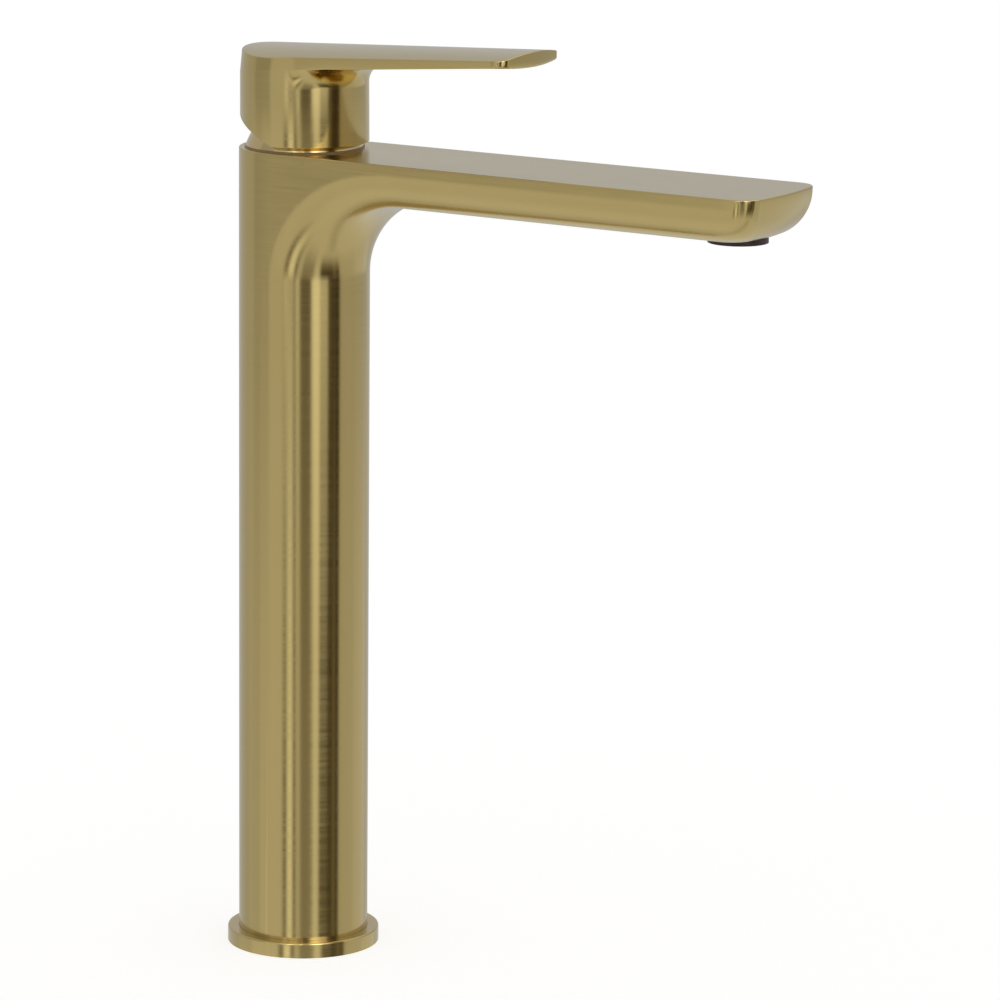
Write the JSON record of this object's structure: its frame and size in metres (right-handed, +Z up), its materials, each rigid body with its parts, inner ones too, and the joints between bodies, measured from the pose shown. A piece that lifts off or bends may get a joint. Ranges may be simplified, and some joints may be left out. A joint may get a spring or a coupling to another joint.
{
  "type": "bathroom mixer faucet",
  "caption": "Tall single-lever basin mixer in satin brass: round column, flat spout with a downward aerator and a flat lever that lifts and turns.",
  "frame": {"origin": "on the column's axis, at the deck surface that the base ring stands on", "axes": "+Z up along the column, +X along the spout, +Y to the cold side"},
  "size_m": [0.2201, 0.054, 0.3271],
  "materials": {
    "satin_brass": "satin brushed, with a clear protective coat",
    "polished_brass": "polished",
    "raw_brass": "machined",
    "steel": "turned",
    "dark_plastic": "moulded, matte",
    "pale_plastic": "moulded, matte",
    "ceramic": "lapped ceramic",
    "rubber": "moulded rubber"
  },
  "bodies": {
    "root": {"faucet_body": "satin_brass", "base_ring": "satin_brass", "base_gasket": "rubber", "inlet_block": "raw_brass", "hot_supply_tube": "steel", "cold_supply_tube": "steel", "tube_seals": "rubber", "valve_housing": "raw_brass", "housing_seals": "rubber", "cartridge_base": "pale_plastic", "cartridge_seals": "rubber", "fixed_disc": "ceramic", "cartridge_shell": "pale_plastic", "retaining_nut": "raw_brass", "slip_ring": "dark_plastic", "dome_cap": "polished_brass", "aerator_housing": "dark_plastic", "aerator_core": "pale_plastic", "aerator_screen": "dark_plastic", "aerator_seal": "rubber"},
    "swivel": {"swivel_collar": "pale_plastic", "pivot_pin": "steel"},
    "lever": {"handle": "satin_brass", "spindle": "steel", "grub_screw": "steel"},
    "disc": {"moving_disc": "ceramic", "disc_carrier": "pale_plastic"}
  },
  "joints": [
    {"name": "temperature", "type": "hinge", "parent": "root", "child": "swivel", "pos_m": [0, 0, 0.2806], "axis": [0, 0, 1], "range_deg": [-45, 45]},
    {"name": "lift", "type": "hinge", "parent": "swivel", "child": "lever", "pos_m": [0, 0, 0.2806], "axis": [0, -1, 0], "range_deg": [0, 25]},
    {"name": "disc_slide", "type": "slide", "parent": "swivel", "child": "disc", "axis": [1, 0, 0], "range_m": [0, 0.0054]}
  ],
  "couplings": [
    {"joint": "disc_slide", "follows": "lift", "m_per_rad": 0.0122}
  ]
}
